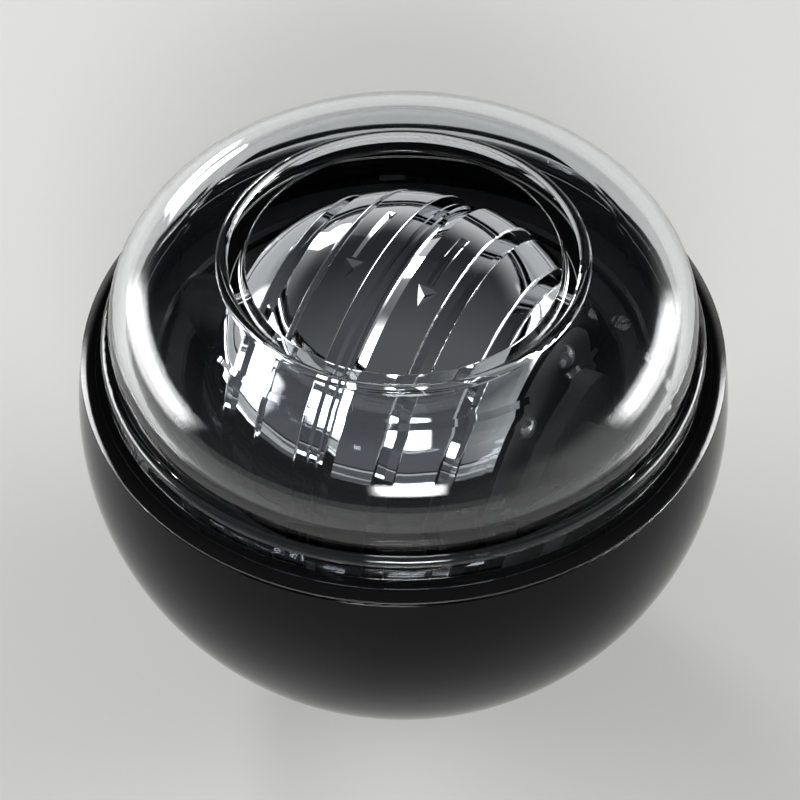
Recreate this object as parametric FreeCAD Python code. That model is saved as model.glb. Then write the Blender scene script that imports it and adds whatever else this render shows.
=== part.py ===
import FreeCAD
import Part
import math
import os

from FreeCAD import Vector

# A gyroscopic wrist ball: a black bowl and a clear dome hold a race, a ring rolls round in the
# race, and a heavy chromed rotor spins on an axle that the ring carries.  Millimetres, +Z up.
# The ball stands on the pips of its base ring at Z = 0 and its upright axis is the Z axis.
# The sizes run from the axle outwards, so each piece leaves room for what it holds.

# Driving sizes across the axle: the sleeve, the spring in its drum, the ratchet and the rotor's end
axle_radius = 2.0
sleeve_wall = 1.1
drum_radius = 9.4
drum_wall = 0.8
spring_turns = 4
spring_thickness = 0.3
pawl_room = 1.9
tooth_depth = 0.9
ratchet_rim = 0.8
cap_ledge = 0.6
end_land = 2.35
end_chamfer = 0.6

# Driving sizes along the axle: from the rotor's middle to its flat end
cavity_floor = 7.5
hub_rise = 0.5
drum_length = 4.7
cover_thickness = 0.7
pawl_thickness = 1.7
cap_thickness = 1.0

# Driving sizes of the ring and the race, from the rotor's skin to the bowl's bore
hoop_gap = 1.3
hoop_wall = 3.1
hoop_half_height = 3.0
race_inner_gap = 0.7
race_depth = 3.9
race_gap = 3.3
race_wall = 1.5
lower_flange = 2.0
upper_flange = 1.8

# Driving sizes of the bowl and the dome
shell_wall = 2.2
bore_relief = 1.6
base_radius = 13.0
standing_pip = 0.3
rim_over_centre = 8.5
dome_step = 1.8
dome_wall = 2.0
dome_upright = 2.1
dome_shoulder = 8.35

# The axle lies level and points this many degrees clockwise of +X, seen from above.
axle_turn = 27.5

# Fits and clearances
slip_fit = 0.1
running_fit = 0.08
press_fit = 0.02
end_play = 0.35
spring_start_gap = 0.25
spring_room = 0.15
drum_gap = 0.3
pawl_end_gap = 0.6
overrun = 1.0

full_turn = 360.0
right_angle = 90.0
half_share = 0.5

# What follows from them across the axle
sleeve_radius = axle_radius + sleeve_wall
spring_inner_radius = sleeve_radius + spring_start_gap
drum_inside_radius = drum_radius - drum_wall
spring_space = drum_inside_radius - spring_room - spring_thickness - spring_inner_radius
spring_pitch = spring_space / spring_turns
tooth_tip_radius = drum_radius + pawl_room
tooth_root_radius = tooth_tip_radius + tooth_depth
cavity_radius = tooth_root_radius + ratchet_rim
recess_radius = cavity_radius + cap_ledge
end_edge_radius = recess_radius + end_land + end_chamfer

# What follows along the axle
drum_inner_end = cavity_floor + hub_rise + drum_gap
drum_outer_end = drum_inner_end + drum_length
cover_end = drum_outer_end + cover_thickness
pawl_end = cover_end + pawl_thickness
cap_seat = pawl_end + pawl_end_gap
rotor_half_length = cap_seat + cap_thickness

# What follows from the rotor's skin outwards
rotor_radius = math.hypot(end_edge_radius, rotor_half_length - end_chamfer)
hoop_inner_radius = rotor_radius + hoop_gap
hoop_outer_radius = hoop_inner_radius + hoop_wall
race_inner_radius = hoop_outer_radius + race_inner_gap
race_wall_radius = race_inner_radius + race_depth
race_outer_radius = race_wall_radius + race_wall
race_half = race_gap * half_share
race_seat_z = -race_half - lower_flange
race_top_z = race_half + upper_flange
bowl_bore = race_outer_radius + slip_fit
bore_end_z = race_seat_z - bore_relief
inner_ball_radius = math.hypot(bowl_bore, bore_end_z)
ball_radius = inner_ball_radius + shell_wall
base_z = -math.sqrt(ball_radius ** 2 - base_radius ** 2)
centre_height = standing_pip - base_z

origin = Vector(0, 0, 0)
up = Vector(0, 0, 1)
along_x = Vector(1, 0, 0)
along_y = Vector(0, 1, 0)


def on_ball(radius, height):
    """The point of a ball's outline at a height over its middle, as (radius, height)."""
    return (math.sqrt(radius ** 2 - height ** 2), height)


def on_circle(centre, radius, degrees):
    """A point of a circle in an outline, as (radius, height)."""
    turn = math.radians(degrees)
    return (centre[0] + radius * math.cos(turn), centre[1] + radius * math.sin(turn))


def flat(x, y):
    return Vector(x, y, 0)


def upright(radius, height):
    return Vector(radius, 0, height)


def outline(place, start, steps):
    """A closed face: a step is the end of a line, or (a point on the way, end) of an arc."""
    first = place(*start)
    here = first
    edges = []
    for step in steps:
        if isinstance(step[0], tuple):
            there = place(*step[1])
            edges.append(Part.Arc(here, place(*step[0]), there).toShape())
        else:
            there = place(*step)
            edges.append(Part.LineSegment(here, there).toShape())
        here = there
    edges.append(Part.LineSegment(here, first).toShape())
    return Part.Face(Part.Wire(edges))


def turned(start, *steps):
    """A solid turned round Z from an outline in (radius, height)."""
    return outline(upright, start, steps).revolve(origin, up, full_turn)


def cylinder(radius, low, high):
    return Part.makeCylinder(radius, high - low, Vector(0, 0, low))


def block(x_low, x_high, width, z_low, z_high):
    """A block with its width centred on the XZ plane."""
    return Part.makeBox(x_high - x_low, width, z_high - z_low,
                        Vector(x_low, -width * half_share, z_low))


def hexagon(across_flats, low, high):
    sides = 6
    corner = across_flats * half_share / math.cos(math.pi / sides)
    corners = []
    for side in range(sides):
        turn = 2 * math.pi * side / sides
        corners.append(flat(corner * math.cos(turn), corner * math.sin(turn)))
    prism = Part.Face(Part.makePolygon(corners + corners[:1])).extrude(up * (high - low))
    prism.translate(up * low)
    return prism


def around(shape, count, start=0):
    """Copies of a shape at even angles round Z."""
    copies = []
    for index in range(count):
        copy = shape.copy()
        copy.rotate(origin, up, start + index * full_turn / count)
        copies.append(copy)
    return copies


def joined(first, others):
    return first.fuse(others).removeSplitter()


def in_ball(shape):
    """Moves a piece of the housing or the ring from the ball's middle to its place."""
    shape.rotate(origin, up, -axle_turn)
    shape.translate(up * centre_height)
    return shape


def on_axle(shape):
    """Lays a piece turned round Z along the axle, its +X side up and its +Z end to the right."""
    shape.rotate(origin, along_y, -right_angle)
    shape.rotate(origin, up, 2 * right_angle - axle_turn)
    shape.translate(up * centre_height)
    return shape


# The race: two black rings that the axle's tips roll between, keyed so that they can't turn

race_edge = 0.5
key_count = 3
key_width = 3.0
key_depth = 0.8

key_inner_radius = race_outer_radius - key_depth


def key_slots():
    slot = block(key_inner_radius - slip_fit, race_outer_radius + overrun, key_width + 2 * slip_fit,
                 race_seat_z - overrun, race_top_z + overrun)
    return around(slot, key_count)


def lower_track():
    ring = turned((race_inner_radius + race_edge, race_seat_z),
                  (race_outer_radius, race_seat_z),
                  (race_outer_radius, race_half),
                  (race_wall_radius, race_half),
                  (race_wall_radius, -race_half),
                  (race_inner_radius + race_edge, -race_half),
                  (race_inner_radius, -race_half - race_edge),
                  (race_inner_radius, race_seat_z + race_edge))
    return ring.cut(key_slots())


def upper_track():
    ring = turned((race_inner_radius + race_edge, race_half),
                  (race_outer_radius, race_half),
                  (race_outer_radius, race_top_z),
                  (race_inner_radius + race_edge, race_top_z),
                  (race_inner_radius, race_top_z - race_edge),
                  (race_inner_radius, race_half + race_edge))
    return ring.cut(key_slots())


# The lower shell: a moulded bowl with gussets under the race, and at its base a ring with four
# small domed pips, so that it stands without rocking

floor_thickness = 2.6
foot_depth = 0.6
foot_width = 2.0
pip_count = 4
pip_radius = 0.8
pip_root = 0.2
rim_round = 0.3
gusset_count = 12
gusset_thickness = 1.4
gusset_inset = 0.6
gusset_height = 9.5
gusset_root = 0.2
snap_count = 6
snap_width = 6.0
snap_height = 1.2
snap_depth = 0.5

snap_z = (race_top_z + rim_over_centre) * half_share
round_share = 1 - math.sqrt(half_share)


def snap_blocks(extra):
    """The beads that click the dome into the bowl, or, grown by a clearance, their pockets."""
    bead = block(race_outer_radius - dome_wall * half_share, race_outer_radius + snap_depth + extra,
                 snap_width + 2 * extra,
                 snap_z - snap_height * half_share - extra, snap_z + snap_height * half_share + extra)
    return around(bead, snap_count, full_turn / (2 * snap_count))


def standing_pip_solid():
    """One pip under the base ring, its lowest point a standing_pip under the ring's flat."""
    dome_radius = (pip_radius ** 2 + standing_pip ** 2) / (2 * standing_pip)
    dome_centre = (0, base_z - standing_pip + dome_radius)
    dome_mid = on_circle(dome_centre, dome_radius,
                         math.degrees(math.asin(pip_radius / dome_radius)) * half_share - right_angle)
    pip = turned((0, base_z + pip_root),
                 (pip_radius, base_z + pip_root),
                 (pip_radius, base_z),
                 (dome_mid, (0, base_z - standing_pip)))
    pip.translate(along_x * (base_radius - foot_width * half_share))
    return pip


def lower_shell():
    floor_z = base_z + floor_thickness
    foot_inner_radius = base_radius - foot_width
    rim_low = on_ball(ball_radius, rim_over_centre - rim_round)
    rim_mid = (rim_low[0] - rim_round * round_share, rim_over_centre - rim_round * round_share)
    rim_top = (rim_low[0] - rim_round, rim_over_centre)
    wall_mid = on_ball(ball_radius, base_z * half_share)
    inside_mid = on_ball(inner_ball_radius, (floor_z + bore_end_z) * half_share)
    bowl = turned((0, base_z + foot_depth),
                  (foot_inner_radius, base_z + foot_depth),
                  (foot_inner_radius, base_z),
                  (base_radius, base_z),
                  (wall_mid, rim_low),
                  (rim_mid, rim_top),
                  (bowl_bore, rim_over_centre),
                  (bowl_bore, bore_end_z),
                  (inside_mid, on_ball(inner_ball_radius, floor_z)),
                  (0, floor_z))
    gusset_reach = race_inner_radius + gusset_inset
    gusset_low_z = race_seat_z - gusset_height
    wall_middle_radius = inner_ball_radius + shell_wall * half_share
    web = outline(upright, (gusset_reach, race_seat_z),
                  (on_ball(wall_middle_radius, race_seat_z), on_ball(wall_middle_radius, gusset_low_z),
                   on_ball(inner_ball_radius + gusset_root, gusset_low_z)))
    gusset = web.extrude(along_y * gusset_thickness)
    gusset.translate(along_y * (-gusset_thickness * half_share))
    key = block(key_inner_radius, bowl_bore + gusset_root, key_width, race_seat_z, race_top_z - slip_fit)
    gusset_start = full_turn / (2 * gusset_count)
    bowl = joined(bowl, around(gusset, gusset_count, gusset_start) + around(key, key_count)
                  + around(standing_pip_solid(), pip_count))
    return bowl.cut(snap_blocks(slip_fit))


# The upper shell: a clear dome with a flange, a bead and a rolled lip round the opening

skirt_wall = 2.0
flange_inset = 0.5
flange_edge = 0.25
flange_rise = 1.0
line_depth = 0.3
line_width = 0.2
bead_foot_drop = 0.2
bead_rise = 2.7
lip_land = 3.75
lip_bead_half = 0.65
lip_bead_rise = 0.25
lip_return = 2.45
lip_drop = 0.3
lip_round = 0.65

flange_radius = race_outer_radius - flange_inset
dome_radius = race_outer_radius - dome_step


def upper_shell():
    skirt_inner_radius = race_outer_radius - skirt_wall
    rim_radius = on_ball(ball_radius, rim_over_centre)[0]
    flange_z = rim_over_centre + flange_rise
    bead_radius = flange_radius - line_width
    bead_round = bead_radius - line_width - dome_radius
    bead_top_z = flange_z + bead_rise
    bead_centre = (bead_radius - bead_round, bead_top_z - bead_round)
    dome_foot_z = bead_top_z - line_depth
    shoulder = (dome_radius - dome_shoulder, dome_foot_z + dome_upright)
    lip_z = shoulder[1] + dome_shoulder
    inner_shoulder = dome_shoulder - dome_wall
    inner_radius = dome_radius - dome_wall
    lip_bead_radius = shoulder[0] - lip_land - lip_bead_half
    opening_radius = lip_bead_radius - lip_return
    lip_centre = (opening_radius + lip_round, lip_z - lip_drop - lip_round)
    middle_turn = right_angle * half_share
    shell = turned(
        (skirt_inner_radius, race_top_z),
        (race_outer_radius, race_top_z),
        (race_outer_radius, rim_over_centre),
        (rim_radius, rim_over_centre),
        (rim_radius, rim_over_centre + flange_edge),
        (((rim_radius + flange_radius) * half_share, flange_z - flange_edge * half_share),
         (flange_radius, flange_z)),
        (flange_radius, flange_z - bead_foot_drop),
        (bead_radius, flange_z - bead_foot_drop),
        (bead_radius, bead_centre[1]),
        (on_circle(bead_centre, bead_round, middle_turn), (bead_centre[0], bead_top_z)),
        (bead_centre[0], dome_foot_z),
        (dome_radius, dome_foot_z),
        (dome_radius, shoulder[1]),
        (on_circle(shoulder, dome_shoulder, middle_turn), (shoulder[0], lip_z)),
        (lip_bead_radius + lip_bead_half, lip_z),
        ((lip_bead_radius, lip_z + lip_bead_rise), (lip_bead_radius - lip_bead_half, lip_z)),
        (lip_centre[0], lip_centre[1] + lip_round),
        ((opening_radius, lip_centre[1]), (lip_centre[0], lip_centre[1] - lip_round)),
        (lip_bead_radius, lip_z - dome_wall),
        (shoulder[0], lip_z - dome_wall),
        (on_circle(shoulder, inner_shoulder, middle_turn), (inner_radius, shoulder[1])),
        (inner_radius, flange_z),
        (skirt_inner_radius, flange_z - skirt_wall))
    return joined(shell, snap_blocks(0))


# The ring: two moulded halves that carry the axle and run in the race

hoop_edge = 0.4
ring_flange_gap = 0.7
ring_flange_side_gap = 0.55
boss_wall = 1.3
boss_gap = 0.8
boss_lip = 0.5
tip_gap = 0.2
tip_slot_fit = 0.15
ring_screw_count = 4
ring_screw_radius = 0.6
ring_screw_head_radius = 1.05
ring_screw_head_height = 0.9
ring_screw_bite = 2.2

# The lamps and the magnet carrier stand between the rotor's right end and the ring's boss.
lamp_stand = 1.2
lamp_gap = 0.7
carrier_thickness = 2.1

ring_flange_radius = race_wall_radius - ring_flange_gap
ring_flange_half = race_half - ring_flange_side_gap
boss_radius = sleeve_radius + boss_wall
hex_across_flats = 2 * sleeve_radius
axle_tip_radius = race_half - tip_gap
carrier_face = rotor_half_length + lamp_stand + lamp_gap
carrier_back = carrier_face + carrier_thickness
boss_face = carrier_back + boss_gap
sleeve_end = hoop_outer_radius - boss_lip
ring_screw_circle = (hoop_inner_radius + hoop_outer_radius) * half_share
ring_screw_seat_z = hoop_half_height - ring_screw_head_height


def lay_along_x(shape):
    shape.rotate(origin, along_y, right_angle)
    return shape


def whole_ring():
    hoop = turned((hoop_inner_radius + hoop_edge, -hoop_half_height),
                  (hoop_outer_radius - hoop_edge, -hoop_half_height),
                  (hoop_outer_radius, -hoop_half_height + hoop_edge),
                  (hoop_outer_radius, -ring_flange_half),
                  (ring_flange_radius, -ring_flange_half),
                  (ring_flange_radius, ring_flange_half),
                  (hoop_outer_radius, ring_flange_half),
                  (hoop_outer_radius, hoop_half_height - hoop_edge),
                  (hoop_outer_radius - hoop_edge, hoop_half_height),
                  (hoop_inner_radius + hoop_edge, hoop_half_height),
                  (hoop_inner_radius, hoop_half_height - hoop_edge),
                  (hoop_inner_radius, -hoop_half_height + hoop_edge))
    bosses = [lay_along_x(cylinder(boss_radius, boss_face, hoop_outer_radius)),
              lay_along_x(cylinder(boss_radius, -hoop_outer_radius, -boss_face))]
    ring = joined(hoop, bosses)
    bore_high = hoop_outer_radius + overrun
    arbor_hole = lay_along_x(hexagon(hex_across_flats + 2 * running_fit, -bore_high, -boss_face + overrun))
    sleeve_hole = lay_along_x(cylinder(sleeve_radius + running_fit, boss_face - overrun, bore_high))
    slot_width = 2 * (axle_tip_radius + tip_slot_fit)
    tip_slot = block(sleeve_end, ring_flange_radius + overrun, slot_width,
                     -ring_flange_half - overrun, ring_flange_half + overrun)
    return ring.cut([arbor_hole, sleeve_hole] + around(tip_slot, 2))


def at_ring_screws(shape):
    shape.translate(along_x * ring_screw_circle)
    return around(shape, ring_screw_count, full_turn / (2 * ring_screw_count))


def ring_lower():
    half = whole_ring().common(cylinder(ball_radius, -ball_radius, 0))
    return half.cut(at_ring_screws(cylinder(ring_screw_radius, -ring_screw_bite, overrun)))


def ring_upper():
    half = whole_ring().common(cylinder(ball_radius, 0, ball_radius))
    shank_hole = cylinder(ring_screw_radius + slip_fit, -overrun, hoop_half_height + overrun)
    head_hole = cylinder(ring_screw_head_radius + slip_fit, ring_screw_seat_z, hoop_half_height + overrun)
    return half.cut(at_ring_screws(shank_hole) + at_ring_screws(head_hole))


def ring_screws():
    shank = cylinder(ring_screw_radius, -ring_screw_bite, ring_screw_seat_z + press_fit)
    head = cylinder(ring_screw_head_radius, ring_screw_seat_z, hoop_half_height)
    drive = block(-ring_screw_head_radius, ring_screw_head_radius, ring_screw_radius * half_share,
                  hoop_half_height - ring_screw_head_height * half_share, hoop_half_height + overrun)
    return Part.makeCompound(at_ring_screws(joined(shank, [head]).cut(drive)))


# The rotor: two chromed zinc halves with thumb grooves and arrows, screwed together on the axle.
# Places along it are counted from its middle outwards, and the two halves' grooves differ.

lip_round = 0.2
groove_depth = 0.9
hub_wall = 0.9
rotor_screw_count = 3
rotor_screw_radius = 0.9
rotor_screw_head_radius = 1.6
rotor_screw_head_height = 1.2
rotor_screw_bite = 5.0

# The groove round the middle: the left half holds a thin rib in it, the right half a thin ring,
# a narrow gap and a broad slope up to the skin.
centre_depth = 1.6
rib_start = 0.3
rib_width = 0.2
rib_drop = 0.6
left_centre_half = 1.7
ring_line_start = 0.52
ring_line_width = 0.27
ring_line_drop = 0.5
gap_line_width = 0.26
gap_line_depth = 1.2
slope_depth = 0.9
slope_width = 1.35

# The left half's lands and grooves, then the right half's
left_arrow_land = 4.85
left_side_groove = 0.5
left_side_depth = 0.5
left_outer_land = 3.35
left_outer_groove = 1.8
right_arrow_land = 4.5
right_side_groove = 1.8
right_outer_land = 4.0
right_outer_groove = 1.3

centre_floor_radius = rotor_radius - centre_depth
slope_start = ring_line_start + ring_line_width + gap_line_width
right_centre_half = slope_start + slope_width
hub_radius = sleeve_radius + hub_wall
rotor_screw_circle = (hub_radius + cavity_radius) * half_share
rotor_screw_seat = cavity_floor - rotor_screw_head_height

# The winding arrows stand on the lands beside the centre groove, three round each half.
arrow_count = 3
arrow_depth = 0.45
arrow_shaft_half = 0.5
arrow_floor_half = 0.15
arrow_tail = 5.2
arrow_shaft_end = 3.15
arrow_head_start = 3.4
arrow_head_half = 1.2
arrow_head_length = 2.8
left_arrow_place = 4.0
right_arrow_place = 4.7


def arrow_cutters(place):
    """The arrows' recesses at a place along the rotor: a shaft with sloping sides and a narrow
    floor, and a head whose three sides slope down to one point."""
    latitude = math.degrees(math.asin(place / rotor_radius))
    land_radius = on_ball(rotor_radius, place)[0]

    def across(radius, offset):
        return on_circle((0, 0), radius, latitude + math.degrees(offset / rotor_radius))

    mouth_radius = rotor_radius + arrow_depth
    mouth_half = 2 * arrow_shaft_half - arrow_floor_half
    floor_radius = rotor_radius - arrow_depth
    section = outline(upright, across(floor_radius, -arrow_floor_half),
                      (across(floor_radius, arrow_floor_half), across(mouth_radius, mouth_half),
                       across(mouth_radius, -mouth_half)))
    shaft = section.revolve(origin, up, math.degrees((arrow_tail + arrow_shaft_end) / land_radius))
    shaft.rotate(origin, up, -math.degrees(arrow_tail / land_radius))

    flank = math.hypot(arrow_head_half, arrow_head_length)
    point_place = arrow_head_half * arrow_head_length / (arrow_head_half + flank)
    mouth_scale = 2
    corners = [Vector(mouth_radius, mouth_scale * (along - point_place), mouth_scale * side)
               for side, along in ((-arrow_head_half, 0), (arrow_head_half, 0), (0, arrow_head_length))]
    point = Part.Vertex(Vector(floor_radius, 0, 0))
    head = Part.makeLoft([point, Part.makePolygon(corners + corners[:1])], True, True)
    head.rotate(origin, along_y, -latitude)
    head.rotate(origin, up, math.degrees((arrow_head_start + point_place) / land_radius))
    return around(shaft, arrow_count) + around(head, arrow_count)


def at_rotor_screws(shape):
    shape.translate(along_x * rotor_screw_circle)
    return around(shape, rotor_screw_count, full_turn / (2 * rotor_screw_count))


def skin_to(low, high):
    """The rotor's skin between two places along it, as an arc."""
    return (on_ball(rotor_radius, (low + high) * half_share), on_ball(rotor_radius, high))


def groove(land_start, low, width, depth):
    """The land before a groove, then the groove with both lips rounded."""
    high = low + width
    near = on_ball(rotor_radius, low)[0]
    far = on_ball(rotor_radius, high)[0]
    inset = lip_round * round_share
    return [skin_to(land_start, low - lip_round),
            ((near - inset, low - inset), (near - lip_round, low)),
            (far - depth, low),
            (far - depth, high),
            (far - lip_round, high),
            ((far - inset, high + inset), on_ball(rotor_radius, high + lip_round))]


def rotor_half(centre, centre_half, arrow_land, side_groove, side_depth, outer_land, outer_groove,
               arrow_place):
    """One half, from the ball's middle to its flat end, before its screw holes."""
    side_low = centre_half + arrow_land
    outer_low = side_low + side_groove + outer_land
    end_edge_z = rotor_half_length - end_chamfer
    half = turned((axle_radius, 0), *centre,
                  *groove(centre_half + lip_round, side_low, side_groove, side_depth),
                  *groove(side_low + side_groove + lip_round, outer_low, outer_groove, groove_depth),
                  skin_to(outer_low + outer_groove + lip_round, end_edge_z),
                  (recess_radius + end_land, rotor_half_length),
                  (recess_radius, rotor_half_length), (recess_radius, cap_seat),
                  (cavity_radius, cap_seat), (cavity_radius, cavity_floor),
                  (hub_radius, cavity_floor), (hub_radius, cavity_floor + hub_rise),
                  (axle_radius, cavity_floor + hub_rise))
    return half.cut(arrow_cutters(arrow_place))


def rotor_half_right():
    ring_line_radius = rotor_radius - ring_line_drop
    ring_line_end = ring_line_start + ring_line_width
    centre = [(centre_floor_radius, 0), (centre_floor_radius, ring_line_start),
              (ring_line_radius, ring_line_start), (ring_line_radius, ring_line_end),
              (rotor_radius - gap_line_depth, ring_line_end), (rotor_radius - gap_line_depth, slope_start),
              (rotor_radius - slope_depth, slope_start), on_ball(rotor_radius, right_centre_half + lip_round)]
    half = rotor_half(centre, right_centre_half, right_arrow_land, right_side_groove, groove_depth,
                      right_outer_land, right_outer_groove, right_arrow_place)
    shank_hole = cylinder(rotor_screw_radius + slip_fit, -overrun, cavity_floor + overrun)
    head_hole = cylinder(rotor_screw_head_radius + slip_fit, rotor_screw_seat, cavity_floor + overrun)
    return half.cut(at_rotor_screws(shank_hole) + at_rotor_screws(head_hole))


def rotor_half_left():
    rib_end = rib_start + rib_width
    lip = on_ball(rotor_radius, left_centre_half)[0]
    inset = lip_round * round_share
    centre = [(centre_floor_radius, 0), (centre_floor_radius, rib_start),
              (rotor_radius - rib_drop, rib_start), (rotor_radius - rib_drop, rib_end),
              (centre_floor_radius, rib_end), (centre_floor_radius, left_centre_half),
              (lip - lip_round, left_centre_half),
              ((lip - inset, left_centre_half + inset), on_ball(rotor_radius, left_centre_half + lip_round))]
    half = rotor_half(centre, left_centre_half, left_arrow_land, left_side_groove, left_side_depth,
                      left_outer_land, left_outer_groove, left_arrow_place)
    half = half.mirror(origin, up)
    return half.cut(at_rotor_screws(cylinder(rotor_screw_radius, -rotor_screw_bite, overrun)))


def rotor_screws():
    shank = cylinder(rotor_screw_radius, -rotor_screw_bite, rotor_screw_seat + press_fit)
    head = cylinder(rotor_screw_head_radius, rotor_screw_seat, cavity_floor)
    socket = hexagon(rotor_screw_head_radius, cavity_floor - rotor_screw_head_height * half_share,
                     cavity_floor + overrun)
    return Part.makeCompound(at_rotor_screws(joined(shank, [head]).cut(socket)))


# The axle: a steel pin whose thinner tips roll in the race

tip_round = 0.5
tip_shoulder_gap = 0.15


def axle():
    body_end = sleeve_end + tip_shoulder_gap
    tip_end = race_wall_radius - end_play
    return turned((0, -tip_end), (axle_tip_radius - tip_round, -tip_end),
                  (axle_tip_radius, -tip_end + tip_round), (axle_tip_radius, -body_end),
                  (axle_radius, -body_end), (axle_radius, body_end), (axle_tip_radius, body_end),
                  (axle_tip_radius, tip_end - tip_round), (axle_tip_radius - tip_round, tip_end),
                  (0, tip_end))


# The left end: the self-starting spring, its drum and the ratchet that drives the rotor

arbor_gap = 0.6
ratchet_depth = 2.6
ratchet_teeth = 24
drum_floor = 0.7
pawl_count = 3
pawl_hub_radius = 6.0
pawl_hub_wall = 1.6
pawl_width = 0.9
pawl_reach = 75.0
pawl_mid_turn = 42.0
arm_clearance = 0.35
nose_clearance = 0.35
nose_gap = 0.12
nose_length_turn = 7.0
spring_side_gap = 0.2
arbor_slot_width = 0.5
arbor_slot_depth = 0.6

cap_radius = recess_radius - slip_fit
arbor_end = cavity_floor + hub_rise + arbor_gap
drum_bore = sleeve_radius + running_fit
spring_low = drum_inner_end + drum_floor + spring_side_gap
spring_high = drum_outer_end - spring_side_gap


def left_cap():
    bore = sleeve_radius + arbor_gap
    return turned((bore, -rotor_half_length), (cap_radius, -rotor_half_length),
                  (cap_radius, -cap_seat), (bore, -cap_seat))


def spring_arbor():
    """A hexagon keyed in the ring, then a round sleeve through the rotor's left end."""
    key = hexagon(hex_across_flats, -sleeve_end, -boss_face)
    sleeve = cylinder(sleeve_radius, -boss_face - press_fit, -arbor_end)
    slot = block(sleeve_radius - arbor_slot_depth, sleeve_radius + overrun, arbor_slot_width,
                 -spring_high, -spring_low)
    bore = cylinder(axle_radius + running_fit, -sleeve_end - overrun, -arbor_end + overrun)
    return joined(key, [sleeve]).cut([bore, slot])


def ratchet_ring():
    """An outer hoop with saw teeth inside: each has one radial face and one long ramp."""
    points = []
    for tooth in range(ratchet_teeth):
        turn = 2 * math.pi * tooth / ratchet_teeth
        points.append(flat(tooth_tip_radius * math.cos(turn), tooth_tip_radius * math.sin(turn)))
        points.append(flat(tooth_root_radius * math.cos(turn), tooth_root_radius * math.sin(turn)))
    teeth = Part.Face(Part.makePolygon(points + points[:1])).extrude(up * (ratchet_depth + 2 * overrun))
    teeth.translate(up * (-cap_seat - overrun))
    return cylinder(cavity_radius - press_fit, -cap_seat, -cap_seat + ratchet_depth).cut(teeth)


def spring_drum():
    floor_end = drum_inner_end + drum_floor
    return turned((drum_bore, -drum_inner_end), (drum_radius, -drum_inner_end),
                  (drum_radius, -drum_outer_end), (drum_inside_radius, -drum_outer_end),
                  (drum_inside_radius, -floor_end), (drum_bore, -floor_end))


def drum_cover():
    return turned((drum_bore, -cover_end), (drum_radius, -cover_end), (drum_radius, -drum_outer_end),
                  (drum_bore, -drum_outer_end))


def pawl_ring():
    """A hub with three springy arms.  Each ends in a nose that stands against a tooth's radial face."""
    half = pawl_width * half_share
    arm_radius = tooth_tip_radius - arm_clearance
    nose_radius = tooth_root_radius - nose_clearance
    nose_turn = math.degrees(nose_gap / nose_radius)
    root_radius = pawl_hub_radius - half

    def polar(radius, degrees):
        return on_circle((0, 0), radius, degrees)

    arm_face = outline(flat, polar(arm_radius - pawl_width, nose_turn), (
        (polar(drum_radius - half, pawl_mid_turn), polar(root_radius - half, pawl_reach)),
        polar(root_radius + half, pawl_reach),
        (polar(drum_radius + half, pawl_mid_turn), polar(arm_radius, nose_length_turn)),
        polar(nose_radius, nose_turn)))
    arm = arm_face.extrude(up * pawl_thickness)
    hub = cylinder(pawl_hub_radius, 0, pawl_thickness)
    plate = joined(hub, around(arm, pawl_count))
    plate = plate.cut(cylinder(pawl_hub_radius - pawl_hub_wall, -overrun, pawl_thickness + overrun))
    plate.translate(up * -pawl_end)
    return plate


def mainspring():
    """A flat spiral strip: half circles whose centres swap sides, so each starts where one ends."""
    step = spring_pitch * half_share

    def edge(offset):
        first = spring_inner_radius + step * half_share + offset
        arcs = []
        for index in range(2 * spring_turns):
            side = 1 if index % 2 == 0 else -1
            radius = first + index * step
            centre = -side * step * half_share
            arcs.append(((centre, side * radius), (centre - side * radius, 0)))
        return arcs

    inner_edge = edge(0)
    outer_edge = edge(spring_thickness)
    outer_start = (spring_inner_radius + spring_thickness, 0)
    outer_points = [outer_start] + [there for through, there in outer_edge]
    way_back = [(outer_edge[index][0], outer_points[index]) for index in reversed(range(2 * spring_turns))]
    strip = outline(flat, (spring_inner_radius, 0), inner_edge + [outer_points[-1]] + way_back)
    spring = strip.extrude(up * (spring_high - spring_low))
    spring.translate(up * -spring_high)
    return spring


# The right end: a small generator that lights the lamps while the rotor spins

magnet_count = 6
magnet_radius = 2.0
magnet_thickness = 1.6
magnet_gap = 0.2
carrier_edge = 1.4
coil_count = 3
bobbin_core_radius = 1.2
bobbin_flange_radius = 3.3
bobbin_flange = 0.7
bobbin_gap = 0.3
coil_inset = 0.3
board_thickness = 1.0
board_clearance = 0.4
board_gap = 0.5
lamp_count = 6
lamp_radius = 1.5
lamp_inset = 2.6
end_bore = 3.0

magnet_circle = boss_radius + magnet_gap + magnet_radius
carrier_radius = magnet_circle + magnet_radius + carrier_edge
coil_circle = hub_radius + bobbin_gap + bobbin_flange_radius
lamp_circle = cavity_radius - lamp_inset
board_end = cap_seat - board_gap
bobbin_end = board_end - board_thickness
winding_low = cavity_floor + bobbin_flange
winding_high = bobbin_end - bobbin_flange


def at_coils(shape):
    shape.translate(along_x * coil_circle)
    return around(shape, coil_count)


def at_lamps(shape):
    shape.translate(along_x * lamp_circle)
    return around(shape, lamp_count, full_turn / (2 * lamp_count))


def at_magnets(shape):
    shape.translate(along_x * magnet_circle)
    return around(shape, magnet_count)


def magnet_carrier():
    """A disc that holds the magnets by the rotor's end, with a sleeve seated in the ring."""
    carrier = turned((axle_radius + running_fit, carrier_face), (carrier_radius, carrier_face),
                     (carrier_radius, carrier_back), (boss_radius, carrier_back), (boss_radius, boss_face),
                     (sleeve_radius, boss_face), (sleeve_radius, sleeve_end),
                     (axle_radius + running_fit, sleeve_end))
    pocket = cylinder(magnet_radius + press_fit, carrier_face - overrun, carrier_face + magnet_thickness)
    return carrier.cut(at_magnets(pocket))


def magnets():
    return Part.makeCompound(at_magnets(cylinder(magnet_radius, carrier_face,
                                                 carrier_face + magnet_thickness)))


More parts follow.
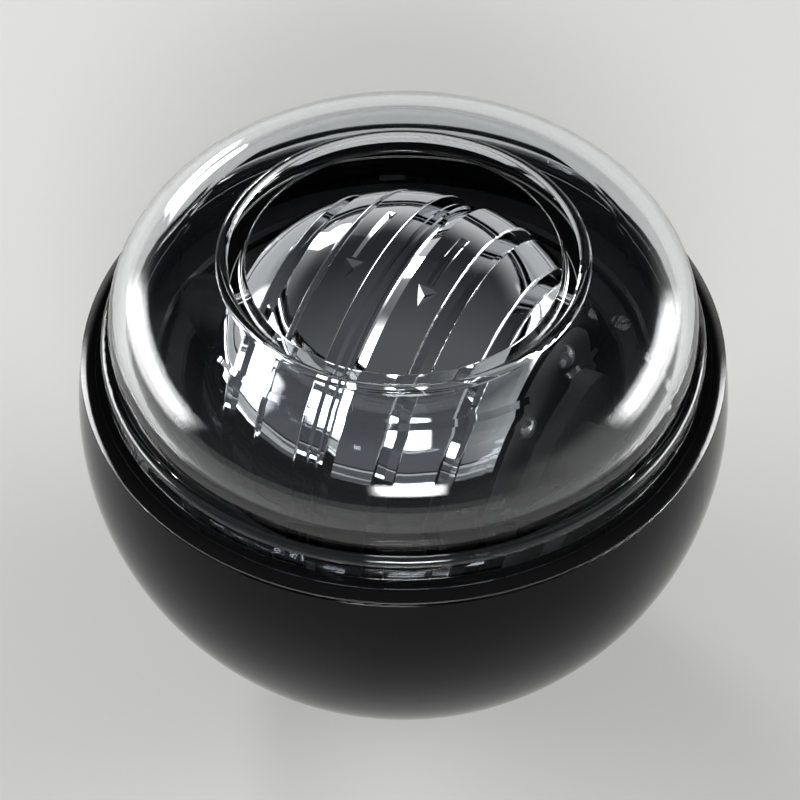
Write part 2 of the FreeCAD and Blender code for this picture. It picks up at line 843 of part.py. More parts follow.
def coil_bobbins():
    bobbin = turned((0, cavity_floor), (bobbin_flange_radius, cavity_floor),
                    (bobbin_flange_radius, winding_low), (bobbin_core_radius, winding_low),
                    (bobbin_core_radius, winding_high), (bobbin_flange_radius, winding_high),
                    (bobbin_flange_radius, bobbin_end), (0, bobbin_end))
    return Part.makeCompound(at_coils(bobbin))


def coils():
    winding = cylinder(bobbin_flange_radius - coil_inset, winding_low, winding_high)
    core = cylinder(bobbin_core_radius, winding_low - overrun, winding_high + overrun)
    return Part.makeCompound(at_coils(winding.cut(core)))


def led_board():
    board = cylinder(cavity_radius - board_clearance, bobbin_end, board_end)
    return board.cut(cylinder(end_bore, bobbin_end - overrun, board_end + overrun))


def leds():
    dome_z = rotor_half_length + lamp_stand - lamp_radius
    lamp = turned((0, board_end), (lamp_radius, board_end), (lamp_radius, dome_z),
                  (on_circle((0, dome_z), lamp_radius, right_angle * half_share),
                   (0, dome_z + lamp_radius)))
    return Part.makeCompound(at_lamps(lamp))


def right_cap():
    plate = turned((end_bore, cap_seat), (cap_radius, cap_seat), (cap_radius, rotor_half_length),
                   (end_bore, rotor_half_length))
    return plate.cut(at_lamps(cylinder(lamp_radius + slip_fit, cap_seat - overrun,
                                       rotor_half_length + overrun)))


pieces_in_ball = [lower_shell, lower_track, upper_track, upper_shell, ring_lower, ring_upper, ring_screws]
pieces_on_axle = [axle, rotor_half_left, rotor_half_right, rotor_screws, left_cap, right_cap, ratchet_ring,
                  spring_arbor, spring_drum, drum_cover, pawl_ring, mainspring,
                  magnet_carrier, magnets, coil_bobbins, coils, led_board, leds]

os.makedirs("parts", exist_ok=True)
for pieces, place in ((pieces_in_ball, in_ball), (pieces_on_axle, on_axle)):
    for piece in pieces:
        shape = place(piece())
        print(piece.__name__, "solids", len(shape.Solids), "volume", round(shape.Volume, 1),
              "valid", shape.isValid())
        shape.exportStep("parts/" + piece.__name__ + ".step")
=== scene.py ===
import math

import bpy
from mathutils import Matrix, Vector


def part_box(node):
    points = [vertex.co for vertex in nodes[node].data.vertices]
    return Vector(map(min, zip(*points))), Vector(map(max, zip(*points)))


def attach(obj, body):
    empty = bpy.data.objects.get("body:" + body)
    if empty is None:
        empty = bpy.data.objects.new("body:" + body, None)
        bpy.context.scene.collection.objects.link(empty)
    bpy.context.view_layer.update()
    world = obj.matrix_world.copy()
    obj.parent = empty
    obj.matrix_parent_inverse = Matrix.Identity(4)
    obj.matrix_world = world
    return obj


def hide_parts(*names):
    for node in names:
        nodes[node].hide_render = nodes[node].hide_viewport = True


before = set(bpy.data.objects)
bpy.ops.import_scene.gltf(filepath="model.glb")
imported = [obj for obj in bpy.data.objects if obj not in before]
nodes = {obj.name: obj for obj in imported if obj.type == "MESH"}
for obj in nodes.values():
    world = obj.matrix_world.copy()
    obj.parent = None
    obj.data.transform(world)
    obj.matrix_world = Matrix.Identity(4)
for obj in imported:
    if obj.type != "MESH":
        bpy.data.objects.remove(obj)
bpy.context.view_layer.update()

# The table, its backdrop and the room.
# The ball stands on a board rolled with matt, pale paint. A hand's breadth away a pale sheet takes
# over from the board and rises behind the ball, seen directly, through glass or in metal.


def linear(code):
    """A colour written as an sRGB hex code, as the linear values that a shader takes."""
    shares = [int(code[place : place + 2], 16) / 255 for place in (0, 2, 4)]
    return [s / 12.92 if s <= 0.04045 else ((s + 0.055) / 1.055) ** 2.4 for s in shares] + [1.0]


def add_node(tree, kind, settings=None, links=None):
    """One node of that kind, with its settings and the sockets that feed it."""
    made = tree.nodes.new(kind)
    for name, value in (settings or {}).items():
        if isinstance(name, int) or name in made.inputs:
            made.inputs[name].default_value = value
        else:
            setattr(made, name, value)
    for name, source in (links or {}).items():
        tree.links.new(source, made.inputs[name])
    return made


def new_material(name):
    """An empty material of that name, its node tree and the object coordinates in it."""
    made = bpy.data.materials.new(name)
    made.use_nodes = True
    made.node_tree.nodes.clear()
    return made, made.node_tree, add_node(made.node_tree, "ShaderNodeTexCoord").outputs["Object"]


def grain(size_mm):
    """The scale of a pattern whose features are that many millimetres across."""
    return 1000.0 / size_mm


board_side = 6.0
sheet_colour = "dadbd9"
sheet_begins, sheet_alone = 0.14, 0.32

# The roller leaves a tooth of 2.5 mm in the paint, which spreads the light evenly.
board_paint, tree, place = new_material("painted_board_matt")
roller = add_node(tree, "ShaderNodeTexNoise", {"Scale": grain(2.5), "Detail": 3.0},
                  {"Vector": place})
tooth = add_node(tree, "ShaderNodeBump", {"Strength": 0.05, "Distance": 0.0002},
                 {"Height": roller.outputs["Fac"]})
paint = add_node(tree, "ShaderNodeBsdfPrincipled",
                 {"Base Color": linear("dcdcda"), "Roughness": 0.75},
                 {"Normal": tooth.outputs["Normal"]})
sheet = add_node(tree, "ShaderNodeEmission", {"Color": linear(sheet_colour)})
distance = add_node(tree, "ShaderNodeVectorMath", {"operation": "LENGTH"}, {0: place})
beyond = add_node(tree, "ShaderNodeMapRange",
                  {"From Min": sheet_begins, "From Max": sheet_alone,
                   "interpolation_type": "SMOOTHSTEP"},
                  {"Value": distance.outputs["Value"]})
ray = add_node(tree, "ShaderNodeLightPath").outputs
past_ball = add_node(tree, "ShaderNodeMath", {"operation": "MAXIMUM"},
                     {0: ray["Is Glossy Ray"], 1: ray["Is Transmission Ray"]})
seen = add_node(tree, "ShaderNodeMath", {"operation": "MAXIMUM"},
                {0: ray["Is Camera Ray"], 1: past_ball.outputs["Value"]})
share = add_node(tree, "ShaderNodeMath", {"operation": "MULTIPLY"},
                 {0: beyond.outputs["Result"], 1: seen.outputs["Value"]})
blend = add_node(tree, "ShaderNodeMixShader", None,
                 {"Fac": share.outputs["Value"], 1: paint.outputs["BSDF"],
                  2: sheet.outputs["Emission"]})
add_node(tree, "ShaderNodeOutputMaterial", None, {"Surface": blend.outputs["Shader"]})

bpy.ops.mesh.primitive_plane_add(size=board_side, location=(0, 0, 0))
board = bpy.context.object
board.name = "table_board"
board.data.materials.append(board_paint)

# The room that the ball mirrors. Its walls are pale low down, dimmer behind the camera on the left,
# and darken upwards. The ceiling is darkest towards the back, so polished metal shows a dark
# middle with a light rim. The sheet hides the room wherever the camera looks past the ball.
room_top = (-0.03, 0.08, 0.996)
dim_side = (-0.6, -0.8, 0)

room = bpy.data.worlds.new("studio_room")
bpy.context.scene.world = room
room.use_nodes = True
walls = room.node_tree
direction = add_node(walls, "ShaderNodeTexCoord").outputs["Generated"]
rise = add_node(walls, "ShaderNodeVectorMath", {"operation": "DOT_PRODUCT", 1: room_top},
                {0: direction})
unlit = add_node(walls, "ShaderNodeMapRange",
                 {"From Min": 0.15, "From Max": 0.6, "interpolation_type": "SMOOTHSTEP"},
                 {"Value": rise.outputs["Value"]})
turn = add_node(walls, "ShaderNodeVectorMath", {"operation": "DOT_PRODUCT", 1: dim_side},
                {0: direction})
dim = add_node(walls, "ShaderNodeMapRange",
               {"From Min": -0.2, "From Max": 0.6, "interpolation_type": "SMOOTHSTEP"},
               {"Value": turn.outputs["Value"]})
sides = add_node(walls, "ShaderNodeMix",
                 {"data_type": "RGBA", "A": linear("dadbd9"), "B": linear("6c6d70")},
                 {"Factor": dim.outputs["Result"]})
axes = add_node(walls, "ShaderNodeSeparateXYZ", None, {"Vector": direction})
to_front = add_node(walls, "ShaderNodeMapRange", {"From Min": 0.65, "From Max": -0.2},
                    {"Value": axes.outputs["Y"]})
ceiling = add_node(walls, "ShaderNodeMix",
                   {"data_type": "RGBA", "A": linear("303134"), "B": linear("626366")},
                   {"Factor": to_front.outputs["Result"]})
tone = add_node(walls, "ShaderNodeMix", {"data_type": "RGBA"},
                {"Factor": unlit.outputs["Result"], "A": sides.outputs["Result"],
                 "B": ceiling.outputs["Result"]})
ray = add_node(walls, "ShaderNodeLightPath").outputs
bounces = add_node(walls, "ShaderNodeMath", {"operation": "SUBTRACT"},
                   {0: ray["Ray Depth"], 1: ray["Transmission Depth"]})
mirrored = add_node(walls, "ShaderNodeMath", {"operation": "GREATER_THAN"},
                    {0: bounces.outputs["Value"]})
through_glass = add_node(walls, "ShaderNodeMath", {"operation": "SUBTRACT"},
                         {0: ray["Is Transmission Ray"], 1: mirrored.outputs["Value"]})
past_ball = add_node(walls, "ShaderNodeMath", {"operation": "MAXIMUM"},
                     {0: ray["Is Camera Ray"], 1: through_glass.outputs["Value"]})
view = add_node(walls, "ShaderNodeMix", {"data_type": "RGBA", "B": linear(sheet_colour)},
                {"Factor": past_ball.outputs["Value"], "A": tone.outputs["Result"]})
walls.links.new(view.outputs["Result"], walls.nodes["Background"].inputs["Color"])

# The soft boxes and the camera.
# One box low on each side, one behind on the left and one in front under the camera. Their mirror
# images lie on the dome's shoulders and in the rotor's grooves. The cloth over each box is
# brightest in the middle and fades towards its frame.

ball_centre = Vector((0, 0, 0.0344105))
box_range = 0.9


def soft_box(name, compass, height, width, depth, power):
    """A rectangular lamp turned to the ball. compass is in degrees from +Y towards +X."""
    turn, rise = math.radians(compass), math.radians(height)
    aim = Vector((math.sin(turn) * math.cos(rise), math.cos(turn) * math.cos(rise),
                  math.sin(rise)))
    light = bpy.data.lights.new(name, "AREA")
    light.shape = "RECTANGLE"
    light.size = width
    light.size_y = depth
    light.energy = power
    light.use_nodes = True
    cloth = light.node_tree
    spot = add_node(cloth, "ShaderNodeNewGeometry").outputs["Parametric"]
    offset = add_node(cloth, "ShaderNodeVectorMath", {"operation": "SUBTRACT", 1: (0.5, 0.5, 0)},
                      {0: spot})
    off_middle = add_node(cloth, "ShaderNodeVectorMath", {"operation": "ABSOLUTE"},
                          {0: offset.outputs["Vector"]})
    axes = add_node(cloth, "ShaderNodeSeparateXYZ", None, {"Vector": off_middle.outputs["Vector"]})
    across, along = [add_node(cloth, "ShaderNodeMapRange",
                              {"From Min": 0.5, "From Max": 0.25,
                               "interpolation_type": "SMOOTHSTEP"},
                              {"Value": axes.outputs[axis]}) for axis in ("X", "Y")]
    glow = add_node(cloth, "ShaderNodeMath", {"operation": "MULTIPLY"},
                    {0: across.outputs["Result"], 1: along.outputs["Result"]})
    cloth.links.new(glow.outputs["Value"], cloth.nodes["Emission"].inputs["Strength"])
    made = bpy.data.objects.new(name, light)
    bpy.context.scene.collection.objects.link(made)
    made.location = ball_centre + box_range * aim
    made.rotation_euler = aim.to_track_quat("Z", "Y").to_euler()


soft_box("soft_box_left", -76, 12, 1.04, 0.46, 16.0)
soft_box("soft_box_right", 77, 13, 0.9, 0.48, 14.0)
soft_box("soft_box_back_left", -24, 18, 0.26, 0.18, 5.0)
soft_box("soft_box_front", 178, 30, 0.42, 0.26, 8.0)

# The camera looks down at the middle of the bowl's rim, turned a little off it.
view_height = math.radians(46.8)
view_range = 0.23075
turn_down = math.radians(1.54)
turn_left = math.radians(0.14)
rim_centre = Vector((0, 0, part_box("lower_shell")[1].z))
eye = view_range * Vector((0, -math.cos(view_height), math.sin(view_height)))
lens = bpy.data.cameras.new("camera")
lens.lens = 93.8
lens.sensor_width = 36.0
lens.clip_start = 0.01
camera = bpy.data.objects.new("camera", lens)
bpy.context.scene.collection.objects.link(camera)
camera.location = rim_centre + eye
camera.rotation_euler = (math.pi / 2 - view_height - turn_down, 0, turn_left)
bpy.context.scene.camera = camera
bpy.context.scene.view_settings.view_transform = "Standard"

# Lower shell: the black bowl that lies in the palm.
# ABS injected into a mirror-polished tool, black all through. The race drops into it and the dome
# clicks into its rim.


def dress(material, *names):
    """Gives carried-over solids that material all over."""
    for name in names:
        mesh = nodes[name].data
        mesh.materials.clear()
        mesh.materials.append(material)


# A deep, wet shine, with fine scuffs from handling and the slight unevenness of a thick moulding.
gloss_abs, tree, place = new_material("abs_moulded_mirror_gloss")
sink = add_node(tree, "ShaderNodeTexNoise", {"Scale": grain(9.0), "Detail": 1.0},
                {"Vector": place})
scuffs = add_node(tree, "ShaderNodeTexNoise",
                  {"Scale": grain(0.8), "Detail": 5.0, "Roughness": 0.7}, {"Vector": place})
shine = add_node(tree, "ShaderNodeMapRange",
                 {"From Min": 0.45, "From Max": 0.75, "To Min": 0.06, "To Max": 0.12},
                 {"Value": scuffs.outputs["Fac"]})
swell = add_node(tree, "ShaderNodeBump", {"Strength": 0.12, "Distance": 0.0002},
                 {"Height": sink.outputs["Fac"]})
skin = add_node(tree, "ShaderNodeBsdfPrincipled",
                {"Base Color": linear("050506"), "IOR": 1.5, "Specular IOR Level": 0.15},
                {"Roughness": shine.outputs["Result"], "Normal": swell.outputs["Normal"]})
add_node(tree, "ShaderNodeOutputMaterial", None, {"Surface": skin.outputs["BSDF"]})
dress(gloss_abs, "lower_shell")

# Race: two black rings that the axle's tips roll between.
# Turned from acetal, a plastic that needs no oil. Three keys in the bowl stop them from turning,
# and the dome's skirt clamps them.

# A half-matt black with fine rings round the upright axis, one each 0.25 mm, from the lathe.
race_acetal, tree, place = new_material("acetal_black_turned")
flat = add_node(tree, "ShaderNodeVectorMath", {"operation": "MULTIPLY", 1: (1, 1, 0)}, {0: place})
radius = add_node(tree, "ShaderNodeVectorMath", {"operation": "LENGTH"},
                  {0: flat.outputs["Vector"]})
rings = add_node(tree, "ShaderNodeTexNoise",
                 {"noise_dimensions": "1D", "Scale": grain(0.25), "Detail": 2.0},
                 {"W": radius.outputs["Value"]})
lathe = add_node(tree, "ShaderNodeBump", {"Strength": 0.25, "Distance": 0.00003},
                 {"Height": rings.outputs["Fac"]})
skin = add_node(tree, "ShaderNodeBsdfPrincipled",
                {"Base Color": linear("1c1c1f"), "Roughness": 0.34, "IOR": 1.48},
                {"Normal": lathe.outputs["Normal"]})
add_node(tree, "ShaderNodeOutputMaterial", None, {"Surface": skin.outputs["BSDF"]})
dress(race_acetal, "lower_track", "upper_track")

# Ring and magnet carrier: the hoop that carries the axle round the race.
# Glass-filled nylon, moulded as two halves that four screws hold together. The carrier is a disc
# held in the right end.

# The short fibres leave a dull black with a fine speckle, 0.3 mm across.
ring_nylon, tree, place = new_material("nylon_glass_filled_moulded")
fibres = add_node(tree, "ShaderNodeTexNoise", {"Scale": grain(0.3), "Detail": 4.0},
                  {"Vector": place})
dull = add_node(tree, "ShaderNodeMapRange",
                {"From Min": 0.35, "From Max": 0.65, "To Min": 0.42, "To Max": 0.58},
                {"Value": fibres.outputs["Fac"]})
rough = add_node(tree, "ShaderNodeBump", {"Strength": 0.2, "Distance": 0.00004},
                 {"Height": fibres.outputs["Fac"]})
skin = add_node(tree, "ShaderNodeBsdfPrincipled", {"Base Color": linear("161618"), "IOR": 1.53},
                {"Roughness": dull.outputs["Result"], "Normal": rough.outputs["Normal"]})
add_node(tree, "ShaderNodeOutputMaterial", None, {"Surface": skin.outputs["BSDF"]})
dress(ring_nylon, "ring_lower", "ring_upper", "magnet_carrier")

# Magnets: six small discs pressed into pockets in the carrier, by the rotor's right end.
# Pressed from powder and sintered, then nickel plated in a tumbling barrel against rust.

# A warm grey metal, brighter and duller by turns where the discs rubbed in the barrel.
nickel, tree, place = new_material("nickel_plated_magnet")
tumble = add_node(tree, "ShaderNodeTexNoise", {"Scale": grain(0.5), "Detail": 3.0},
                  {"Vector": place})
worn = add_node(tree, "ShaderNodeMapRange", {"To Min": 0.15, "To Max": 0.3},
                {"Value": tumble.outputs["Fac"]})
skin = add_node(tree, "ShaderNodeBsdfPrincipled", {"Base Color": linear("b8b2a8"), "Metallic": 1.0},
                {"Roughness": worn.outputs["Result"]})
add_node(tree, "ShaderNodeOutputMaterial", None, {"Surface": skin.outputs["BSDF"]})
dress(nickel, "magnets")

# Steel pieces: the axle, the sleeve on it, the ratchet, the main spring and the screws.
# The axle and the sleeve are turned and ground. The ratchet is pressed into the rotor, and the
# spring hooks on the sleeve and the drum.

axle_turn = math.radians(27.5)


def along_axle(tree, place, across_mm, around_mm):
    """Object coordinates from the ball's middle with X along the axle, stretched round it."""
    return add_node(tree, "ShaderNodeMapping",
                    {"vector_type": "TEXTURE", "Location": ball_centre,
                     "Rotation": (0, 0, -axle_turn),
                     "Scale": (across_mm / 1000, around_mm / 1000, around_mm / 1000)},
                    {"Vector": place}).outputs["Vector"]


# A soft grey sheen, drawn into lines round the axle. They are 0.15 mm apart, coarser than the
# wheel leaves them, so that they show.
ground_steel, tree, place = new_material("steel_turned_and_ground")
lines = add_node(tree, "ShaderNodeTexNoise", {"Scale": 1.0, "Detail": 3.0},
                 {"Vector": along_axle(tree, place, 0.15, 4.0)})
sheen = add_node(tree, "ShaderNodeMapRange",
                 {"From Min": 0.3, "From Max": 0.7, "To Min": 0.2, "To Max": 0.34},
                 {"Value": lines.outputs["Fac"]})
cut = add_node(tree, "ShaderNodeBump", {"Strength": 0.2, "Distance": 0.00002},
               {"Height": lines.outputs["Fac"]})
skin = add_node(tree, "ShaderNodeBsdfPrincipled", {"Base Color": linear("b9babd"), "Metallic": 1.0},
                {"Roughness": sheen.outputs["Result"], "Normal": cut.outputs["Normal"]})
add_node(tree, "ShaderNodeOutputMaterial", None, {"Surface": skin.outputs["BSDF"]})
dress(ground_steel, "axle", "spring_arbor", "ratchet_ring", "mainspring", "ring_screws",
      "rotor_screws")

# Rotor: two heavy halves that spin on the axle, with thumb grooves and winding arrows.
# Die-cast zinc, buffed and chrome plated, and screwed together through the middle. The left cap
# closes the starter's end.

# It mirrors the room, with a faint haze in lines of 0.12 mm where the buffing wheel ran round, and
# a slow wave of 5 mm from the casting.
chrome, tree, place = new_material("zinc_die_cast_chrome_plated")
buffing = add_node(tree, "ShaderNodeTexNoise", {"Scale": 1.0, "Detail": 4.0},
                   {"Vector": along_axle(tree, place, 0.12, 7.0)})
haze = add_node(tree, "ShaderNodeMapRange",
                {"From Min": 0.4, "From Max": 0.75, "To Min": 0.02, "To Max": 0.07},
                {"Value": buffing.outputs["Fac"]})
cast = add_node(tree, "ShaderNodeTexNoise", {"Scale": grain(5.0), "Detail": 1.0},
                {"Vector": place})
wave = add_node(tree, "ShaderNodeBump", {"Strength": 0.06, "Distance": 0.0002},
                {"Height": cast.outputs["Fac"]})
skin = add_node(tree, "ShaderNodeBsdfPrincipled", {"Base Color": linear("d6d8dc"), "Metallic": 1.0},
                {"Roughness": haze.outputs["Result"], "Normal": wave.outputs["Normal"]})
add_node(tree, "ShaderNodeOutputMaterial", None, {"Surface": skin.outputs["BSDF"]})
dress(chrome, "rotor_half_left", "rotor_half_right", "left_cap")

# Drum, its cover, the pawls and the bobbins: the light pieces of the starter and the generator.
# Acetal moulded in its natural colour. The drum turns on the sleeve with the spring inside it, and
# its springy pawls catch in the ratchet.

# An ivory grey with a waxy, half-matt skin and faint clouds of 2 mm.
drum_acetal, tree, place = new_material("acetal_natural_moulded")
cloud = add_node(tree, "ShaderNodeTexNoise", {"Scale": grain(2.0), "Detail": 2.0},
                 {"Vector": place})
tint = add_node(tree, "ShaderNodeMix",
                {"data_type": "RGBA", "A": linear("c9c7bd"), "B": linear("d5d3ca")},
                {"Factor": cloud.outputs["Fac"]})
skin = add_node(tree, "ShaderNodeBsdfPrincipled",
                {"Roughness": 0.42, "IOR": 1.48, "Subsurface Weight": 0.1,
                 "Subsurface Scale": 0.001},
                {"Base Color": tint.outputs["Result"]})
add_node(tree, "ShaderNodeOutputMaterial", None, {"Surface": skin.outputs["BSDF"]})
dress(drum_acetal, "spring_drum", "drum_cover", "pawl_ring", "coil_bobbins")

# Coil windings: enamelled copper wire wound in neat layers on the three bobbins.
# The outer layer shows every turn of the 0.35 mm wire. The layers under it are one tube.

coil_circle = 0.0076
winding_low, winding_high = 0.0082, 0.0138
winding_radius = 0.003
inner_radius = 0.0027
inner_wall = 0.0015
wire_radius = 0.000175
wire_sides = 10
outer_turns = 15
crease = math.radians(40)


def deselect():
    """Leaves nothing selected and object mode on, so that an operator takes what it is given."""
    if bpy.context.object and bpy.context.object.mode == "EDIT":
        bpy.ops.object.mode_set(mode="OBJECT")
    bpy.ops.object.select_all(action="DESELECT")


def around_axle(first, count, start):
    """Copies of a piece evenly round Z, from that angle in degrees, as one mesh on the axle."""
    turned = [first]
    for index in range(1, count):
        again = first.copy()
        again.data = first.data.copy()
        bpy.context.scene.collection.objects.link(again)
        turned.append(again)
    deselect()
    for index, made in enumerate(turned):
        made.rotation_euler.z = math.radians(start) + index * 2 * math.pi / count
        made.select_set(True)
    bpy.context.view_layer.objects.active = first
    bpy.ops.object.transform_apply()
    bpy.ops.object.join()
    first.rotation_euler = (0, -math.pi / 2, math.pi - axle_turn)
    first.location = ball_centre
    bpy.ops.object.transform_apply()
    bpy.ops.object.mode_set(mode="EDIT")
    bpy.ops.mesh.select_all(action="SELECT")
    bpy.ops.mesh.normals_make_consistent(inside=False)
    bpy.ops.object.mode_set(mode="OBJECT")
    bpy.ops.object.shade_smooth_by_angle(angle=crease)
    return first


deselect()
bpy.ops.mesh.primitive_circle_add(vertices=wire_sides, radius=wire_radius,
                                  rotation=(math.pi / 2, 0, 0),
                                  location=(winding_radius - wire_radius, 0,
                                            winding_low + wire_radius))
outer_layer = bpy.context.object
bpy.ops.object.transform_apply()
helix = outer_layer.modifiers.new("turns", "SCREW")
helix.axis = "Z"
helix.angle = 2 * math.pi
helix.screw_offset = 2 * wire_radius
helix.iterations = outer_turns
helix.steps = 40
helix.render_steps = 40
bpy.ops.object.modifier_apply(modifier="turns")
bpy.ops.object.mode_set(mode="EDIT")
bpy.ops.mesh.select_all(action="SELECT")
bpy.ops.mesh.fill_holes(sides=wire_sides)
bpy.ops.object.mode_set(mode="OBJECT")

deselect()
bpy.ops.mesh.primitive_cylinder_add(vertices=48, radius=inner_radius,
                                    depth=winding_high - winding_low, end_fill_type="NOTHING",
                                    location=(0, 0, (winding_low + winding_high) / 2))
inner_layers = bpy.context.object
bpy.ops.object.transform_apply()
wound = inner_layers.modifiers.new("wound", "SOLIDIFY")
wound.thickness = inner_wall
wound.offset = -1
bpy.ops.object.modifier_apply(modifier="wound")
outer_layer.select_set(True)
bpy.context.view_layer.objects.active = inner_layers
bpy.ops.object.join()
inner_layers.location.x = coil_circle
bpy.ops.object.transform_apply()
coil_windings = around_axle(inner_layers, 3, 0)
coil_windings.name = "coil_windings"

# A warm copper under a clear, hard enamel, a little brighter and duller from turn to turn.
wire, tree, place = new_material("copper_wire_enamelled")
turns = add_node(tree, "ShaderNodeTexNoise", {"Scale": 1.0, "Detail": 2.0},
                 {"Vector": along_axle(tree, place, 0.35, 3.0)})
enamel = add_node(tree, "ShaderNodeMapRange", {"To Min": 0.2, "To Max": 0.35},
                  {"Value": turns.outputs["Fac"]})
skin = add_node(tree, "ShaderNodeBsdfPrincipled",
                {"Base Color": linear("b8602f"), "Metallic": 1.0, "Coat Weight": 0.6},
                {"Roughness": enamel.outputs["Result"]})
add_node(tree, "ShaderNodeOutputMaterial", None, {"Surface": skin.outputs["BSDF"]})
coil_windings.data.materials.append(wire)
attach(coil_windings, "rotor")
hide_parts("coils")

# Lamp board: the round circuit board that the coils feed and the lamps stand on.
# Woven glass and resin under a green solder mask, cut to a disc that lies on the bobbins.

# A glossy green, darker and lighter where the 0.6 mm weave shows through.
mask, tree, place = new_material("fibreglass_board_solder_mask")
weave = add_node(tree, "ShaderNodeTexNoise", {"Scale": grain(0.6), "Detail": 1.0},
                 {"Vector": place})
green = add_node(tree, "ShaderNodeMix",
                 {"data_type": "RGBA", "A": linear("0c3a20"), "B": linear("17522f")},
                 {"Factor": weave.outputs["Fac"]})
skin = add_node(tree, "ShaderNodeBsdfPrincipled", {"Roughness": 0.3},
                {"Base Color": green.outputs["Result"]})
add_node(tree, "ShaderNodeOutputMaterial", None, {"Surface": skin.outputs["BSDF"]})
dress(mask, "led_board")

# Lamps: six small lamps in a circle on the board.
# Each is cast from clear epoxy round its metal frame. Its domed tip stands through the right cap.

# Water clear and glossy, with a slight ripple of 1 mm from the casting.
epoxy, tree, place = new_material("epoxy_lens_clear")
flow = add_node(tree, "ShaderNodeTexNoise", {"Scale": grain(1.0)}, {"Vector": place})
clear = add_node(tree, "ShaderNodeMapRange", {"To Min": 0.03, "To Max": 0.1},
                 {"Value": flow.outputs["Fac"]})
skin = add_node(tree, "ShaderNodeBsdfPrincipled",
                {"Base Color": linear("f0f4f6"), "Transmission Weight": 0.9, "IOR": 1.5},
                {"Roughness": clear.outputs["Result"]})
add_node(tree, "ShaderNodeOutputMaterial", None, {"Surface": skin.outputs["BSDF"]})
dress(epoxy, "leds")

# Lamp frames: the cup with its post and the second post that show inside each clear lamp.
# Stamped from strip steel and tinned. The cup is pressed into the head of its post, and the posts
# run down into the board.

lamp_circle = 0.0104
lamp_foot = 0.0155
cup_across = -0.0003
cup_radius = 0.0006
cup_height = 0.0005
cup_middle = lamp_foot + 0.00125
cup_wall = 0.00008
cup_hollow = 0.00032
cup_narrowing = 0.45
cup_post_height = 0.001
far_post_across = 0.0006
far_post_height = 0.0015
post_width, post_depth = 0.0003, 0.0004
post_edge = 0.00004

deselect()
bpy.ops.mesh.primitive_cylinder_add(vertices=24, radius=cup_radius, depth=cup_height,
                                    location=(cup_across, 0, cup_middle))
cup = bpy.context.object
bpy.ops.object.transform_apply()
bpy.ops.object.mode_set(mode="EDIT")
bpy.ops.mesh.select_all(action="DESELECT")
bpy.ops.object.mode_set(mode="OBJECT")
for face in cup.data.polygons:
    face.select = face.normal.z > 0.9
bpy.ops.object.mode_set(mode="EDIT")
bpy.ops.mesh.select_mode(type="FACE")
bpy.ops.mesh.inset(thickness=cup_wall)
bpy.ops.mesh.extrude_region_move(TRANSFORM_OT_translate={"value": (0, 0, -cup_hollow)})
bpy.ops.transform.resize(value=(cup_narrowing, cup_narrowing, 1),
                         center_override=(cup_across, 0, cup_middle))
bpy.ops.object.mode_set(mode="OBJECT")

frames = [cup]
for across, high in ((cup_across, cup_post_height), (far_post_across, far_post_height)):
    deselect()
    bpy.ops.mesh.primitive_cube_add(size=1, location=(across, 0, lamp_foot + high / 2),
                                    scale=(post_width, post_depth, high))
    post = bpy.context.object
    bpy.ops.object.transform_apply()
    edge = post.modifiers.new("edge", "BEVEL")
    edge.width = post_edge
    edge.segments = 2
    bpy.ops.object.modifier_apply(modifier="edge")
    frames.append(post)
deselect()
for made in frames:
    made.select_set(True)
bpy.context.view_layer.objects.active = cup
bpy.ops.object.join()
cup.location.x = lamp_circle
bpy.ops.object.transform_apply()
lamp_frames = around_axle(cup, 6, 30)
lamp_frames.name = "lamp_frames"

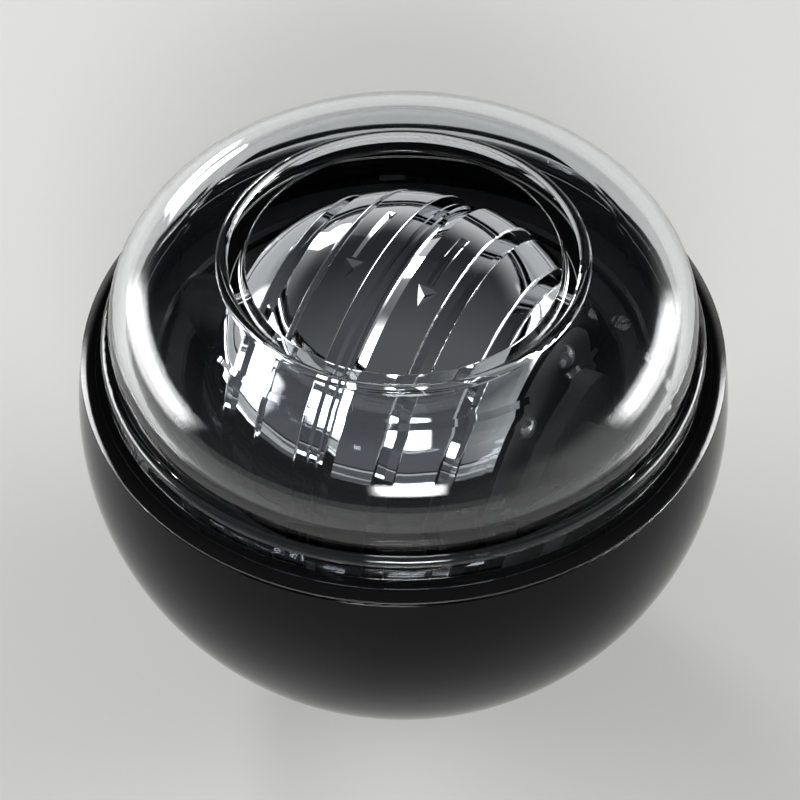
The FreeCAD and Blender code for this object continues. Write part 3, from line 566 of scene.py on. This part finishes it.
# A bright, cool white metal, slightly streaked at 0.3 mm from the stamping and the dipping.
tinned, tree, place = new_material("lead_frame_tinned")
stamp = add_node(tree, "ShaderNodeTexNoise", {"Scale": grain(0.3), "Detail": 2.0},
                 {"Vector": place})
worn = add_node(tree, "ShaderNodeMapRange", {"To Min": 0.12, "To Max": 0.28},
                {"Value": stamp.outputs["Fac"]})
skin = add_node(tree, "ShaderNodeBsdfPrincipled", {"Base Color": linear("cfd0cf"), "Metallic": 1.0},
                {"Roughness": worn.outputs["Result"]})
add_node(tree, "ShaderNodeOutputMaterial", None, {"Surface": skin.outputs["BSDF"]})
lamp_frames.data.materials.append(tinned)
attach(lamp_frames, "rotor")

# Right cap: the plate that closes the rotor's right end, with a hole for each lamp.
# Polycarbonate from an etched tool, so that it spreads the light. It sits in a recess of the rotor.

# A cloudy, smoky grey that lets light through, etched to a grain of 0.2 mm.
frosted, tree, place = new_material("polycarbonate_frosted")
frost = add_node(tree, "ShaderNodeTexNoise", {"Scale": grain(0.2), "Detail": 2.0},
                 {"Vector": place})
etched = add_node(tree, "ShaderNodeMapRange", {"To Min": 0.3, "To Max": 0.45},
                  {"Value": frost.outputs["Fac"]})
skin = add_node(tree, "ShaderNodeBsdfPrincipled",
                {"Base Color": linear("8d8f93"), "Transmission Weight": 0.8, "IOR": 1.58},
                {"Roughness": etched.outputs["Result"]})
add_node(tree, "ShaderNodeOutputMaterial", None, {"Surface": skin.outputs["BSDF"]})
dress(frosted, "right_cap")

# Upper shell: the clear dome with its flange, bead and rolled lip round the thumb opening.
# Polycarbonate from a polished tool. Its skirt clamps the race and clicks into the bowl's rim.

# Water clear with the faintest smoke, hard and glossy, with hairlines of 0.7 mm from handling.
clear_pc, tree, place = new_material("polycarbonate_clear_polished")
hairlines = add_node(tree, "ShaderNodeTexNoise", {"Scale": grain(0.7), "Detail": 4.0},
                     {"Vector": place})
polish = add_node(tree, "ShaderNodeMapRange",
                  {"From Min": 0.5, "From Max": 0.8, "To Min": 0.0, "To Max": 0.03},
                  {"Value": hairlines.outputs["Fac"]})
skin = add_node(tree, "ShaderNodeBsdfPrincipled",
                {"Base Color": linear("f4f6f7"), "Transmission Weight": 1.0, "IOR": 1.585},
                {"Roughness": polish.outputs["Result"]})
add_node(tree, "ShaderNodeOutputMaterial", None, {"Surface": skin.outputs["BSDF"]})
dress(clear_pc, "upper_shell")
